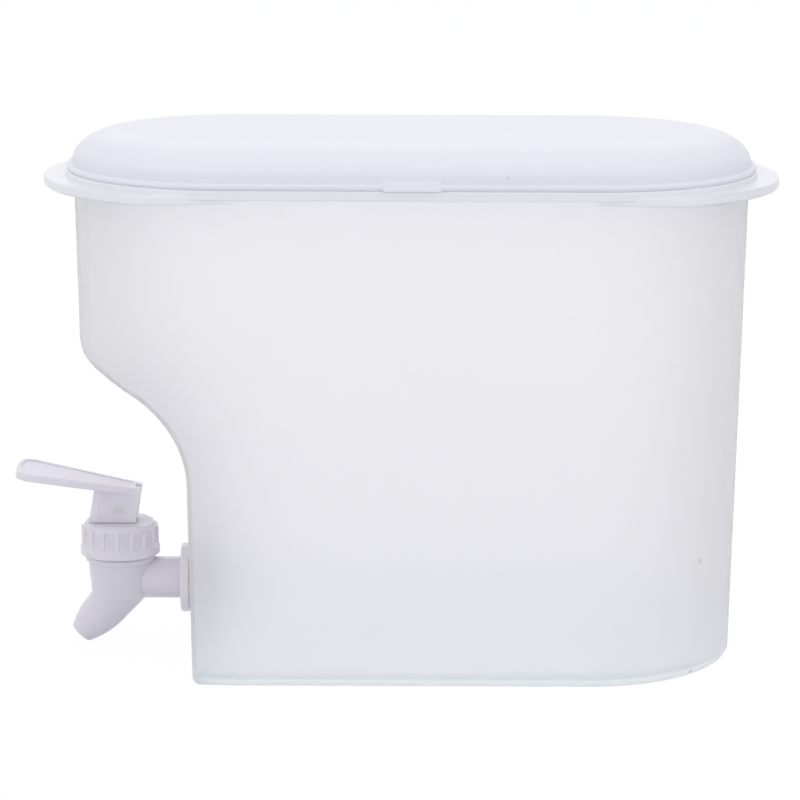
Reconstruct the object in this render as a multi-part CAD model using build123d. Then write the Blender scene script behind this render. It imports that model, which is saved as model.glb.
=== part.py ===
from build123d import *
import os
from math import cos, pi, radians, sin, sqrt, tan

os.makedirs("parts", exist_ok=True)

# Fridge water jug with a lever tap, in millimetres. The origin is in the middle of the flat
# underside, +Z is up, and the tap points along -X.

# Jug body: half-round ends, drafted walls, measured at the underside
body_half_length = 123.6
body_half_depth = 56.8
draft_angle = 1.0
body_wall = 2.0
base_thickness = 2.6
body_edge_radius = 3.0

# Cut-away front, in side view: drafted wall, hollow curve, sloping underside, round corner
front_setback = 42.75
front_wall_height = 76.3
hollow_radius = 35.5
underside_slope = 25.0
overhang_corner_radius = 11.5
overhang_corner_kink = 20.0

# Flange band round the top, its two lower ears, and the rim that the lid sits on
flange_top = 186.8
flange_thickness = 3.5
flange_overhang = 3.0
flange_edge_radius = 0.6
ear_reach = 11.15
ear_step = 1.8
ear_thickness = 3.6
ear_radius = 70.0
ear_corner_radius = 14.0
ear_side_angle = 5.0
ear_edge_radius = 0.8
rim_height = 4.5
rim_thickness = 1.3
rim_edge_radius = 0.4

# Lid: dome with a soft elliptic shoulder, outer bead, and a sealing wall inside the rim
lid_wall = 1.5
lid_skirt_wall = 1.0
lid_fit = 0.3
lid_bead_proud = 1.9
lid_bead_height = 2.1
lid_bead_radius = 0.8
lid_flange_gap = 0.3
lid_shoulder_width = 17.7
lid_shoulder_height = 11.85
lid_crown = 0.4
lid_plug_wall = 1.3
lid_plug_depth = 6.8
lid_plug_chamfer = 0.5
tab_half_width = 10.6
tab_reach = 2.4
tab_thickness = 1.9
tab_ramp_height = 3.0
tab_corner_radius = 2.2

# Tap body: shank square to the tap's upright axis, cone-shaped valve chamber, slanted spout
shank_height = 26.3
shank_radius = 8.0
shank_bore_radius = 5.2
tap_reach = 23.7
collar_radius = 13.3
collar_thickness = 3.2
collar_edge_radius = 0.8
tail_step = 0.3
tail_thread_pitch = 2.0
tail_thread_depth = 0.6
tail_past_nut = 3.0
wall_hole_fit = 0.4
chamber_top_radius = 12.4
chamber_taper = 1.2
chamber_wall = 2.0
chamber_above_shank = 7.3
chamber_floor_below_bore = 0.5
chamber_floor_thickness = 0.3
body_bead_proud = 1.0
body_bead_height = 2.2
body_bead_radius = 0.6
neck_step = 0.2
neck_height = 10.0
spout_angle = 46.0
spout_reach = 15.6
spout_drop = 22.3
spout_mouth_radius = 4.6
spout_root_radius = 8.1
spout_belly_radius = 6.85
spout_belly_distance = 6.0
spout_root_distance = 13.4
spout_mouth_wall = 0.85
spout_lip_radius = 0.3
seat_hole_radius = 4.6
seat_hole_depth = 5.1
seat_cone_height = 1.0

# Washers and nut on the tail of the shank
outer_gasket_thickness = 3.8
outer_gasket_radius = 12.6
inner_gasket_thickness = 3.0
inner_gasket_radius = 12.6
gasket_fit = 0.05
nut_thickness = 7.0
nut_across_flats = 25.0
nut_flange_radius = 14.6
nut_flange_thickness = 2.0
nut_edge_chamfer = 0.8
nut_fit = 0.05

# Bonnet cap screwed on the neck
bonnet_gap = 0.9
bonnet_plate = 2.2
bonnet_wall = 2.15
bonnet_taper = 0.35
bonnet_shoulder_run = 1.0
bonnet_shoulder_height = 1.8
bonnet_bead_proud = 0.85
bonnet_bead_height = 2.3
bonnet_flare_height = 2.2
bonnet_fit = 0.1
bonnet_boss_height = 3.0
bonnet_boss_gap = 0.45
bonnet_ring_width = 1.3
bonnet_ring_step = 0.2
rib_count = 16
rib_width = 1.7
rib_proud = 0.4

# Valve stem with its foot, spring plate and cross head
stem_radius = 2.2
stem_fit = 0.1
foot_radius = 3.0
foot_height = 1.6
foot_neck_radius = 1.7
foot_neck_height = 1.3
spring_plate_margin = 0.55
spring_plate_height = 1.6
cross_head_radius = 1.5
cross_head_rise = 5.5
stem_crown = 0.5

# Silicone seat cup
cup_flange_inset = 0.2
cup_flange_thickness = 1.0
cup_top_water_gap = 1.6
cup_base_water_gap = 1.9
cup_skin = 0.9
plug_thickness = 5.0
plug_tip_depth = 0.8
cup_fit = 0.05

# Return spring round the stem
spring_radius = 4.4
spring_wire = 0.9
spring_turns = 6
spring_end_gap = 0.1

# Lever: flared paddle on a leaning heel block
lever_tilt = 10.0
lever_tip_reach = 39.0
lever_rear_reach = 8.6
lever_rear_height = 13.7
lever_plate_thickness = 3.1
lever_tip_half_width = 12.9
lever_tip_bulge = 1.6
lever_tip_corner_radius = 5.0
lever_edge_radius = 0.5
lever_rim = 1.4
lever_dish_depth = 0.5
heel_reach = 11.7
heel_half_width = 5.2
heel_nose_radius = 2.4
heel_toe_radius = 0.6
heel_gap = 0.05
lever_rear_lean = 9.0
lever_slot_side_gap = 0.25
lever_slot_front_gap = 0.4
lever_slot_headroom = 2.9
lever_notch_depth = 2.2
lever_press = 18.0
cross_slot_fit = 0.1
cross_slot_end_gap = 0.25
cross_slot_wall = 0.85

# How far a cutting tool runs past what it cuts
overrun = 10.0

# Values worked out from the sizes above
draft_run = tan(radians(draft_angle))
straight_half = body_half_length - body_half_depth
flange_bottom = flange_top - flange_thickness
front_wall_reach = body_half_length - front_setback
body_top_radius = body_half_depth + flange_top * draft_run
flange_half_length = straight_half + body_top_radius + ear_reach
rim_inner_radius = body_top_radius - body_wall
rim_outer_radius = rim_inner_radius + rim_thickness
rim_top = flange_top + rim_height

wall_outer_x = -front_wall_reach - shank_height * draft_run
wall_inner_x = wall_outer_x + body_wall / cos(radians(draft_angle))
collar_inner_x = wall_outer_x - outer_gasket_thickness
collar_outer_x = collar_inner_x - collar_thickness
tap_x = collar_outer_x - tap_reach
nut_outer_x = wall_inner_x + inner_gasket_thickness
nut_inner_x = nut_outer_x + nut_thickness
tail_end_x = nut_inner_x + tail_past_nut

tail_radius = shank_radius - tail_step
chamber_base_radius = chamber_top_radius - chamber_taper
chamber_floor = shank_height - shank_bore_radius - chamber_floor_below_bore
chamber_base = chamber_floor - chamber_floor_thickness
spout_bore_radius = spout_mouth_radius - spout_mouth_wall
bead_base = shank_height + chamber_above_shank
bead_top = bead_base + body_bead_height
neck_top = bead_top + neck_height
bonnet_base = bead_top + bonnet_gap
bonnet_plate_base = neck_top + cup_flange_thickness
bonnet_top = bonnet_plate_base + bonnet_plate
neck_radius = chamber_top_radius - neck_step
bonnet_bore_radius = neck_radius + bonnet_fit
bonnet_skirt_radius = bonnet_bore_radius + bonnet_wall
bonnet_shoulder_radius = bonnet_skirt_radius - bonnet_taper
bonnet_top_radius = bonnet_shoulder_radius - bonnet_shoulder_run
bonnet_disc_radius = bonnet_top_radius - bonnet_ring_width
bonnet_boss_radius = spring_radius - spring_wire / 2 - bonnet_boss_gap

seat_base = chamber_floor - seat_cone_height
plug_base = seat_base - plug_tip_depth
plug_top = plug_base + plug_thickness
foot_base = plug_top - foot_neck_height - foot_height
spring_base = plug_top + spring_plate_height
spring_plate_radius = spring_radius + spring_wire / 2 + spring_plate_margin
cross_head_z = bonnet_top + cross_head_rise
cross_slot_half_length = heel_half_width - cross_slot_wall
cross_head_half_length = cross_slot_half_length - cross_slot_end_gap

lever_base = bonnet_top + heel_gap
heel_x = tap_x - heel_reach
pivot_x = heel_x + heel_toe_radius
pivot_z = lever_base + heel_toe_radius
pivot_to_stem = tap_x - pivot_x
stem_travel = pivot_to_stem * radians(lever_press)


def stadium(half_length, half_depth):
    """Outline with straight sides and half-round ends."""
    return SlotOverall(2 * half_length, 2 * half_depth)


def stadium_sweep(profile):
    """Carry a section, drawn with X away from the middle line, round the jug's outline."""
    end = revolve(profile, Axis.Z, 180)
    right_end = Pos(straight_half, 0, 0) * Rot(0, 0, -90) * end
    left_end = Pos(-straight_half, 0, 0) * Rot(0, 0, 90) * end
    side = extrude(Rot(0, 0, 90) * profile, straight_half, both=True)
    return right_end + left_end + side + Rot(0, 0, 180) * side


def cylinder_x(x_from, x_to, radius, height=shank_height):
    """Round bar along X, from one X to another."""
    plane = Plane(origin=(x_from, 0, height), x_dir=(0, 1, 0), z_dir=(1, 0, 0))
    return extrude(plane * Circle(radius), x_to - x_from)


def turned(points, axis_x=tap_x):
    """Solid turned about an upright axis from a closed outline of radius and height."""
    outline = Plane.XZ * make_face(Polyline(*points, close=True))
    return Pos(axis_x, 0, 0) * revolve(outline, Axis.Z)


def front_cutter(inset):
    """Prism that cuts the front away, moved inwards by a wall's thickness where it is given."""
    inner = hollow_radius + inset
    outer = overhang_corner_radius - inset
    rise = 90 - underside_slope
    wall_x = -front_wall_reach - front_wall_height * draft_run
    hollow_x = wall_x - hollow_radius * cos(radians(draft_angle))
    hollow_z = front_wall_height - hollow_radius * sin(radians(draft_angle))
    across, up = cos(radians(rise)), sin(radians(rise))
    slope_x = hollow_x + hollow_radius * across
    slope_z = hollow_z + hollow_radius * up
    # The sloping underside is followed to the corner that it would make with the end wall
    gradient = tan(radians(underside_slope))
    corner_run = (slope_x + body_half_length + slope_z * draft_run) / (1 - gradient * draft_run)
    turn = (rise + draft_angle) / 2
    back_off = overhang_corner_radius * tan(radians(turn)) * cos(radians(underside_slope))
    corner_x = slope_x - corner_run + back_off + overhang_corner_radius * across
    corner_z = slope_z + (corner_run - back_off) * gradient + overhang_corner_radius * up
    sweep = rise - overhang_corner_kink
    hollow = CenterArc((hollow_x, hollow_z), inner, draft_angle, rise - draft_angle)
    corner = CenterArc((corner_x, corner_z), outer, 180 + rise, -sweep)
    drop = (hollow @ 0).Y + overrun
    foot = hollow @ 0 + Vector(drop * draft_run, -drop)
    kink = radians(overhang_corner_kink)
    lip = corner @ 1 + Vector(-sin(kink), cos(kink)) * overrun
    far_x = -flange_half_length - overrun
    outline = [
        Line(foot, hollow @ 0),
        hollow,
        Line(hollow @ 1, corner @ 0),
        corner,
        Line(corner @ 1, lip),
        Line(lip, (far_x, lip.Y)),
        Line((far_x, lip.Y), (far_x, foot.Y)),
        Line((far_x, foot.Y), foot),
    ]
    return extrude(Plane.XZ * make_face(outline), body_half_depth + overrun, both=True)


def body_form(inset, bottom, top, edge_radius):
    """Drafted body with its cut-away front, as a full form, at some depth inside the skin."""
    growth = bottom * draft_run - inset
    outline = Pos(0, 0, bottom) * stadium(body_half_length + growth, body_half_depth + growth)
    form = extrude(outline, top - bottom, taper=-draft_angle) - front_cutter(inset)
    cut_edges = [e for e in form.edges() if front_side_edge(e, bottom)]
    return fillet(cut_edges + list(form.edges().group_by(Axis.Z)[0]), edge_radius)


def front_side_edge(edge, bottom):
    """True for the edges where the cut-away front meets the body's round end."""
    box = edge.bounding_box()
    in_front = box.min.X < -front_wall_reach + body_wall and box.max.X < -straight_half
    return in_front and box.max.Z > bottom + body_wall and box.max.Z < flange_bottom


def soft_plate(outline, bottom, thickness, edge_radius):
    """Flat plate with its top and bottom edges rounded."""
    plate = extrude(Pos(0, 0, bottom) * outline, thickness)
    levels = plate.edges().group_by(Axis.Z)
    return fillet(levels[0] + levels[-1], edge_radius)


def flange_band():
    """Band of even width that runs round the top of the body."""
    half_depth = body_top_radius + flange_overhang
    outline = stadium(straight_half + half_depth, half_depth)
    return soft_plate(outline, flange_bottom, flange_thickness, flange_edge_radius)


def right_ear():
    """Wide ear with a bulged front, whose sides lean in until they die away in the wall."""
    half_depth = body_top_radius + flange_overhang
    arc_rise = sqrt(ear_radius**2 - half_depth**2)
    side_x = flange_half_length - ear_radius + arc_rise
    root_x = straight_half / 2
    root_half = half_depth - (side_x - root_x) * tan(radians(ear_side_angle))
    front = ThreePointArc((side_x, -half_depth), (flange_half_length, 0), (side_x, half_depth))
    rest = Polyline((side_x, half_depth), (root_x, root_half), (root_x, -root_half), (side_x, -half_depth))
    outline = make_face([front, rest])
    outline = fillet(outline.vertices().group_by(Axis.X)[-1], ear_corner_radius)
    return soft_plate(outline, flange_top - ear_step - ear_thickness, ear_thickness, ear_edge_radius)


def jug_body():
    """Shell with flange and rim, and the hole that takes the tap's tail."""
    outer = body_form(0, 0, flange_top, body_edge_radius)
    rim = stadium(straight_half + rim_outer_radius, rim_outer_radius)
    rim = extrude(Pos(0, 0, flange_bottom) * rim, rim_top - flange_bottom)
    rim = fillet(rim.edges().group_by(Axis.Z)[-1], rim_edge_radius)
    inner = body_form(body_wall, base_thickness, rim_top + overrun, body_edge_radius - body_wall)
    hole = cylinder_x(wall_outer_x - overrun, wall_inner_x + overrun, tail_radius + wall_hole_fit)
    ears = right_ear() + Rot(0, 0, 180) * right_ear()
    return outer + flange_band() + ears + rim - inner - hole


def lid_section():
    """Half section of the lid, from its middle line out to the bead and the sealing wall."""
    skirt_inner = rim_outer_radius + lid_fit
    dome_radius = skirt_inner + lid_skirt_wall
    bead_radius = dome_radius + lid_bead_proud
    skirt_bottom = flange_top + lid_flange_gap
    bead_top_z = skirt_bottom + lid_bead_height
    shoulder_x = dome_radius - lid_shoulder_width
    shoulder_z = bead_top_z + lid_shoulder_height
    plug_outer = rim_inner_radius - lid_fit
    plug_inner = plug_outer - lid_plug_wall
    plug_bottom = rim_top - lid_plug_depth
    centre = (shoulder_x, bead_top_z)
    shoulder = EllipticalCenterArc(centre, lid_shoulder_width, lid_shoulder_height, arc_size=90)
    inner_width = lid_shoulder_width - lid_wall
    inner_height = lid_shoulder_height - lid_wall
    inner_start = sqrt(1 - ((plug_inner - shoulder_x) / inner_width) ** 2) * inner_height
    crown_half = shoulder_x / 2
    crown_mid = lid_crown * (1 - (crown_half / shoulder_x) ** 2)
    crown_z = shoulder_z + lid_crown
    crown = ThreePointArc((shoulder_x, shoulder_z), (crown_half, shoulder_z + crown_mid), (0, crown_z))
    under_z = shoulder_z - lid_wall
    under_mid = (crown_half, under_z + crown_mid)
    under = ThreePointArc((0, under_z + lid_crown), under_mid, (shoulder_x, under_z))
    hollow_mid_x = (plug_inner + shoulder_x) / 2
    hollow_mid = sqrt(1 - ((hollow_mid_x - shoulder_x) / inner_width) ** 2) * inner_height
    hollow = ThreePointArc(
        (shoulder_x, under_z),
        (hollow_mid_x, bead_top_z + hollow_mid),
        (plug_inner, bead_top_z + inner_start),
    )
    points = [
        (plug_inner, bead_top_z + inner_start),
        (plug_inner, plug_bottom),
        (plug_outer - lid_plug_chamfer, plug_bottom),
        (plug_outer, plug_bottom + lid_plug_chamfer),
        (plug_outer, rim_top),
        (skirt_inner, rim_top),
        (skirt_inner, skirt_bottom),
        (bead_radius - lid_bead_radius, skirt_bottom),
    ]
    lower = Polyline(*points)
    bead_low = RadiusArc(points[-1], (bead_radius, skirt_bottom + lid_bead_radius), -lid_bead_radius)
    bead_side = Line(bead_low @ 1, (bead_radius, bead_top_z - lid_bead_radius))
    bead_high = RadiusArc(bead_side @ 1, (bead_radius - lid_bead_radius, bead_top_z), -lid_bead_radius)
    ledge = Line(bead_high @ 1, shoulder @ 0)
    middle = Line(crown @ 1, under @ 0)
    edges = [lower, bead_low, bead_side, bead_high, ledge, shoulder, crown, middle, under, hollow]
    return Plane.XZ * make_face(edges)


def lid_tab():
    """Thumb tab on the near side: a lip with a hollow ramp up to the dome."""
    dome_y = rim_outer_radius + lid_fit + lid_skirt_wall
    tip_y = dome_y + lid_bead_proud + tab_reach
    base_z = flange_top + lid_flange_gap
    top_z = base_z + tab_thickness
    ramp_z = top_z + tab_ramp_height
    root_y = dome_y - lid_skirt_wall / 2
    ramp_mid = (root_y + (tip_y - root_y) / 4, top_z + tab_ramp_height / 4)
    ramp = ThreePointArc((tip_y, top_z), ramp_mid, (root_y, ramp_z))
    rest = Polyline((root_y, ramp_z), (root_y, base_z), (tip_y, base_z), (tip_y, top_z))
    section = Plane.YZ * make_face([ramp, rest])
    tab = extrude(section, tab_half_width, both=True)
    corners = [e for e in tab.edges().filter_by(Axis.Z) if e.center().Y > dome_y]
    tab = fillet(corners, tab_corner_radius)
    return Rot(0, 0, 180) * tab


def lid():
    """Lid with its dome, bead, channel for the rim, sealing wall and thumb tab."""
    return stadium_sweep(lid_section()) + lid_tab()


def spout_plane(distance):
    """Plane across the spout's slanted axis, at a distance back from its mouth."""
    slant = radians(spout_angle)
    mouth_x = tap_x - spout_reach
    mouth_z = shank_height - spout_drop
    origin = (mouth_x + distance * cos(slant), 0, mouth_z + distance * sin(slant))
    return Plane(origin=origin, x_dir=(sin(slant), 0, -cos(slant)), z_dir=(cos(slant), 0, sin(slant)))


def spout():
    """Slanted spout: a bullet shape at the mouth and a blend up to the valve chamber."""
    section = make_face(
        [
            ThreePointArc(
                (spout_mouth_radius, 0),
                (spout_belly_radius, spout_belly_distance),
                (spout_root_radius, spout_root_distance),
            ),
            Polyline(
                (spout_root_radius, spout_root_distance),
                (0, spout_root_distance),
                (0, 0),
                (spout_mouth_radius, 0),
            ),
        ]
    )
    mouth = spout_plane(0)
    bullet = revolve(Plane.XZ * section, Axis.Z)
    bullet = fillet(bullet.edges().group_by(Axis.Z)[0], spout_lip_radius)
    bullet = mouth.location * bullet
    root = spout_plane(spout_root_distance) * Circle(spout_root_radius)
    top_plane = Plane(origin=(tap_x, 0, chamber_base), x_dir=(1, 0, 0), z_dir=(0, 0, 1))
    blend = loft([root.face(), (top_plane * Circle(chamber_base_radius)).face()], ruled=True)
    return bullet + blend


def tail_thread():
    """Ridges that the nut runs on, as plain grooves cut in the tail."""
    grooves = []
    count = int((tail_end_x - nut_outer_x) / tail_thread_pitch)
    for turn in range(count):
        groove_x = nut_outer_x + (turn + 1 / 2) * tail_thread_pitch
        ring = cylinder_x(groove_x, groove_x + tail_thread_pitch / 2, tail_radius + tail_thread_depth)
        core = cylinder_x(groove_x, groove_x + tail_thread_pitch / 2, tail_radius - tail_thread_depth)
        grooves.append(ring - core)
    return grooves


def tap_body():
    """One moulding: tail, collar, shank, valve chamber with its neck, and spout."""
    chamber = turned(
        [
            (0, chamber_base),
            (chamber_base_radius, chamber_base),
            (chamber_top_radius, bead_base),
            (0, bead_base),
        ]
    )
    bead = extrude(Circle(chamber_top_radius + body_bead_proud), body_bead_height)
    bead = Pos(tap_x, 0, bead_base) * fillet(bead.edges(), body_bead_radius)
    neck = Pos(tap_x, 0, bead_base) * extrude(Circle(neck_radius), neck_top - bead_base)
    shank = cylinder_x(tap_x, collar_inner_x, shank_radius)
    collar = cylinder_x(collar_outer_x, collar_inner_x, collar_radius)
    collar = fillet(collar.edges().group_by(Axis.X)[0], collar_edge_radius)
    tail = cylinder_x(collar_inner_x, tail_end_x, tail_radius)
    solid = chamber + bead + neck + shank + collar + tail + spout()
    bore = turned(
        [
            (0, chamber_floor),
            (chamber_base_radius - chamber_wall, chamber_floor),
            (chamber_top_radius - chamber_wall, bead_top),
            (chamber_top_radius - chamber_wall, neck_top + overrun),
            (0, neck_top + overrun),
        ]
    )
    seat = turned(
        [
            (0, chamber_floor - seat_hole_depth),
            (seat_hole_radius, chamber_floor - seat_hole_depth),
            (seat_hole_radius, seat_base),
            (seat_hole_radius + seat_cone_height, chamber_floor),
            (0, chamber_floor),
        ]
    )
    shank_bore = cylinder_x(tap_x, tail_end_x + overrun, shank_bore_radius)
    bore_back = spout_reach / cos(radians(spout_angle)) - spout_bore_radius
    spout_bore = extrude(spout_plane(-overrun) * Circle(spout_bore_radius), overrun + bore_back)
    solid = solid - bore - seat - shank_bore - spout_bore
    for groove in tail_thread():
        solid = solid - groove
    return solid


def wall_slab(face_x, thickness):
    """Slanted slab that follows the drafted front wall, to trim a washer to it."""
    low_x = face_x + shank_height * draft_run
    high = 2 * shank_height
    high_x = low_x - high * draft_run
    points = [(low_x, 0), (high_x, high), (high_x + thickness, high), (low_x + thickness, 0)]
    return extrude(Plane.XZ * make_face(Polyline(*points, close=True)), body_half_depth, both=True)


def outer_gasket():
    """Soft washer between the collar and the wall, squeezed to the wall's draft."""
    ring = cylinder_x(collar_inner_x, wall_outer_x + body_wall, outer_gasket_radius)
    ring = ring - cylinder_x(collar_inner_x, wall_outer_x + body_wall, tail_radius + gasket_fit)
    return ring - wall_slab(wall_outer_x, overrun)


def inner_gasket():
    """Soft washer between the wall and the nut, squeezed to the wall's draft."""
    ring = cylinder_x(wall_inner_x - body_wall, nut_outer_x, inner_gasket_radius)
    ring = ring - cylinder_x(wall_inner_x - body_wall, nut_outer_x, tail_radius + gasket_fit)
    return ring - wall_slab(wall_inner_x - overrun, overrun)


def lock_nut():
    """Six-sided plastic nut with a round pressure flange."""
    plane = Plane(origin=(nut_outer_x, 0, shank_height), x_dir=(0, 1, 0), z_dir=(1, 0, 0))
    hexagon = extrude(plane * RegularPolygon(nut_across_flats / 2, 6, major_radius=False), nut_thickness)
    chamfer_cone = cylinder_x(nut_outer_x, nut_inner_x, nut_flange_radius)
    chamfer_cone = chamfer(chamfer_cone.edges().group_by(Axis.X)[-1], nut_edge_chamfer)
    flange = cylinder_x(nut_outer_x, nut_outer_x + nut_flange_thickness, nut_flange_radius)
    nut = (hexagon & chamfer_cone) + flange
    return nut - cylinder_x(nut_outer_x - overrun, nut_inner_x + overrun, tail_radius + nut_fit)


def bonnet_rib(angle):
    """One upright grip rib on the cap's skirt."""
    base_z = bonnet_base + bonnet_bead_height
    top_z = bonnet_top - bonnet_shoulder_height
    depth = bonnet_skirt_radius + rib_proud - bonnet_top_radius
    block = Pos(bonnet_top_radius, 0, base_z) * Box(
        depth, rib_width, top_z - base_z, align=(Align.MIN, Align.CENTER, Align.MIN)
    )
    tips = [e for e in block.edges() if e.center().X > bonnet_skirt_radius and e.center().Z > base_z]
    block = fillet(tips, rib_proud * 3 / 4)
    return Pos(tap_x, 0, 0) * Rot(0, 0, angle) * block


def bonnet_cap():
    """Screw cap with ribs, bead, plate with the stem's hole, and a boss that guides the spring."""
    flare_z = bonnet_base + bonnet_bead_height
    bead_radius = bonnet_skirt_radius + bonnet_bead_proud
    hole_radius = stem_radius + stem_fit
    ring_z = bonnet_top - bonnet_ring_step
    cap = turned(
        [
            (bonnet_bore_radius, bonnet_base),
            (bead_radius, bonnet_base),
            (bead_radius, flare_z),
            (bonnet_skirt_radius, flare_z + bonnet_flare_height),
            (bonnet_shoulder_radius, bonnet_top - bonnet_shoulder_height),
            (bonnet_top_radius, ring_z),
            (bonnet_disc_radius + bonnet_ring_step, ring_z),
            (bonnet_disc_radius, bonnet_top),
            (hole_radius, bonnet_top),
            (hole_radius, bonnet_plate_base - bonnet_boss_height),
            (bonnet_boss_radius, bonnet_plate_base - bonnet_boss_height),
            (bonnet_boss_radius, bonnet_plate_base),
            (bonnet_bore_radius, bonnet_plate_base),
        ]
    )
    for rib in range(rib_count):
        cap = cap + bonnet_rib(rib * 360 / rib_count)
    return cap


def valve_stem():
    """Rod with a button foot in the silicone, a plate for the spring, and a cross head."""
    stem = turned(
        [
            (0, foot_base),
            (foot_radius, foot_base),
            (foot_radius, foot_base + foot_height),
            (foot_neck_radius, foot_base + foot_height),
            (foot_neck_radius, plug_top),
            (spring_plate_radius, plug_top),
            (spring_plate_radius, spring_base),
            (stem_radius, spring_base),
            (stem_radius, cross_head_z + stem_crown),
            (stem_radius - stem_crown, cross_head_z + 2 * stem_crown),
            (0, cross_head_z + 2 * stem_crown),
        ]
    )
    plane = Plane(origin=(tap_x, 0, cross_head_z), x_dir=(1, 0, 0), z_dir=(0, 1, 0))
    head = extrude(plane * Circle(cross_head_radius), cross_head_half_length, both=True)
    return stem + head


def seat_cup():
    """Silicone cup: clamped flange, thin wall, and a plug that holds the stem's foot."""
    flange_base = bonnet_plate_base - cup_flange_thickness
    flange_radius = neck_radius - cup_flange_inset
    top_radius = chamber_top_radius - chamber_wall - cup_top_water_gap
    base_radius = chamber_base_radius - chamber_wall - cup_base_water_gap
    cone_radius = seat_hole_radius - cup_fit * sqrt(2)
    tip_radius = cone_radius - plug_tip_depth
    plug_shoulder = seat_base + base_radius - cone_radius
    cup = turned(
        [
            (0, plug_base),
            (tip_radius, plug_base),
            (base_radius, plug_shoulder),
            (base_radius, plug_top),
            (top_radius, flange_base),
            (flange_radius, flange_base),
            (flange_radius, bonnet_plate_base),
            (top_radius - cup_skin, bonnet_plate_base),
            (base_radius - cup_skin, plug_top - cup_fit),
            (0, plug_top - cup_fit),
        ]
    )
    socket = turned(
        [
            (0, foot_base - cup_fit),
            (foot_radius + cup_fit, foot_base - cup_fit),
            (foot_radius + cup_fit, foot_base + foot_height + cup_fit),
            (foot_neck_radius + cup_fit, foot_base + foot_height + cup_fit),
            (foot_neck_radius + cup_fit, plug_top),
            (0, plug_top),
        ]
    )
    return cup - socket


def coil_point(turn, pitch, base_z):
    """Point of the spring's centre line after some turns, and its direction there."""
    angle = 2 * pi * turn
    point = Vector(spring_radius * cos(angle), spring_radius * sin(angle), base_z + pitch * turn)
    direction = Vector(-sin(angle), cos(angle), pitch / (2 * pi * spring_radius)).normalized()
    return point, direction


def tangent_pair(start, start_direction, end, end_direction):
    """Two arcs that leave one point and reach the other in the given directions."""
    chord = end - start
    both = start_direction + end_direction
    spread = 2 * (1 - start_direction.dot(end_direction))
    along = chord.dot(both)
    handle = (sqrt(along**2 + spread * chord.dot(chord)) - along) / spread
    first = start + start_direction * handle
    second = end - end_direction * handle
    middle = (first + second) / 2
    return [
        TangentArc(start, middle, tangent=start_direction),
        TangentArc(middle, end, tangent=(second - first).normalized()),
    ]


def return_spring():
    """Stainless wire coil between the stem's plate and the cap, in half turns of two arcs each."""
    wire_radius = spring_wire / 2
    base_z = spring_base + spring_end_gap + wire_radius
    pitch = (bonnet_plate_base - spring_end_gap - wire_radius - base_z) / spring_turns
    stations = [coil_point(half / 2, pitch, base_z) for half in range(2 * spring_turns + 1)]
    arcs = []
    for (start, start_way), (end, end_way) in zip(stations, stations[1:]):
        arcs += tangent_pair(start, start_way, end, end_way)
    path = Wire(arcs)
    coil = sweep(Plane(origin=path @ 0, z_dir=path % 0) * Circle(wire_radius), path=path)
    points = [arc @ (step / 8) for arc in arcs for step in range(8)]
    turn = 4 * 8
    far_apart = [(a - b).length for n, a in enumerate(points) for b in points[n + turn // 2 :]]
    print("spring's least gap to itself", round(min(far_apart) - spring_wire, 2))
    return Pos(tap_x, 0, 0) * coil


def lever_top_z(x):
    """Height of the paddle's tilted top plane at a place along X."""
    rear_x = tap_x + lever_rear_reach
    return bonnet_top + lever_rear_height + (rear_x - x) * tan(radians(lever_tilt))


def lever_plane(drop=0):
    """Plane of the paddle's top, or one below it, with its origin above the tap's axis."""
    tilt = radians(lever_tilt)
    origin = (tap_x - drop * sin(tilt), 0, lever_top_z(tap_x) - drop * cos(tilt))
    return Plane(origin=origin, x_dir=(cos(tilt), 0, -sin(tilt)), z_dir=(sin(tilt), 0, cos(tilt)))


def paddle_outline(shrink):
    """Flared outline in the paddle's plane, drawn in by the rim where that is given."""
    tilt = cos(radians(lever_tilt))
    tip = -lever_tip_reach / tilt + shrink
    rear = lever_rear_reach / tilt
    tip_half = lever_tip_half_width - shrink
    rear_half = heel_half_width - shrink
    corner_x = tip + lever_tip_bulge
    end = ThreePointArc((corner_x, tip_half), (tip, 0), (corner_x, -tip_half))
    sides = Polyline((corner_x, -tip_half), (rear, -rear_half), (rear, rear_half), (corner_x, tip_half))
    outline = make_face([end, sides])
    tips = [v for v in outline.vertices() if v.X < 0]
    return fillet(tips, lever_tip_corner_radius - shrink)


def lever_heel():
    """Leaning block that stands on the cap, with a rounded nose and a rounded toe."""
    lean = tan(radians(lever_tilt))
    rear_lean = tan(radians(lever_rear_lean))
    rear_x = tap_x + lever_rear_reach
    rear_z = bonnet_top + lever_rear_height
    front_z = lever_top_z(heel_x) - lever_plate_thickness
    side = Polyline(
        (heel_x, lever_base),
        (rear_x - (rear_z - lever_base) * rear_lean, lever_base),
        (rear_x, rear_z),
        (heel_x + (front_z - lever_base) * lean, front_z),
        close=True,
    )
    block = extrude(Plane.XZ * make_face(side), heel_half_width, both=True)
    nose_x = (heel_x + tap_x) / 2
    nose = [e for e in block.edges() if e.bounding_box().max.X < nose_x]
    block = fillet([e for e in nose if e.bounding_box().size.Z > 0], heel_nose_radius)
    foot = [e for e in block.edges().group_by(Axis.Z)[0] if e.center().X < tap_x]
    return fillet(foot, heel_toe_radius)


def cross_slot():
    """Space in the heel for the stem's cross head, open at the rear so that the lever slides on."""
    press = radians(lever_press)
    far_z = (cross_head_z - pivot_z + stem_travel) * cos(press) - pivot_to_stem * sin(press)
    clear = cross_head_radius + cross_slot_fit
    front_x = tap_x - clear
    back_x = tap_x + lever_rear_reach
    floor_z = pivot_z + far_z - clear
    roof_z = cross_head_z + clear
    slot_align = (Align.MIN, Align.CENTER, Align.MIN)
    slot = Box(back_x - front_x, 2 * cross_slot_half_length, roof_z - floor_z, align=slot_align)
    return Pos(front_x, 0, floor_z) * slot


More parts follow.
